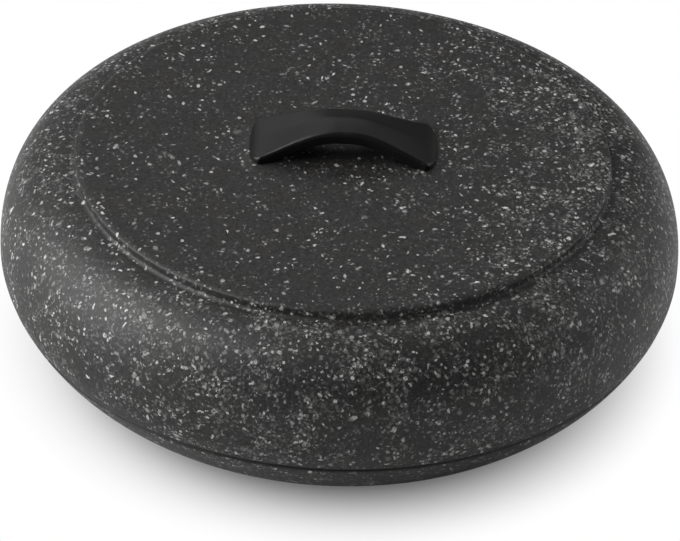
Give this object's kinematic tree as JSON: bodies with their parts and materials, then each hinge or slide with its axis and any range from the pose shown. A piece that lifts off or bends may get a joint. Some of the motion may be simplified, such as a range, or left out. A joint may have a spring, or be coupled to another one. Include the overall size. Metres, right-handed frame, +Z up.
{
  "type": "tortilla warmer",
  "caption": "Round covered warmer with a shallow base, a deep lift-off lid with a raised disc, and a low arched strap handle on top.",
  "frame": {"origin": "centre of the foot ring, on the table", "axes": "+Z up, the way the lid lifts; +X along the handle; -Y towards the camera in the picture"},
  "size_m": [0.254, 0.254, 0.0946],
  "materials": {
    "speckled_plastic": "satin charcoal with pale stone-like flecks",
    "black_plastic": "fine satin black",
    "steel": "bright zinc-plated"
  },
  "bodies": {
    "base": {"base": "speckled_plastic"},
    "lid": {"lid": "speckled_plastic", "handle": "black_plastic", "handle_screw_left": "steel", "handle_screw_right": "steel", "handle_washer_left": "steel", "handle_washer_right": "steel"}
  },
  "joints": [
    {"name": "lid_lift", "type": "slide", "parent": "base", "child": "lid", "axis": [0, 0, 1], "range_m": [0, 0.12]}
  ]
}
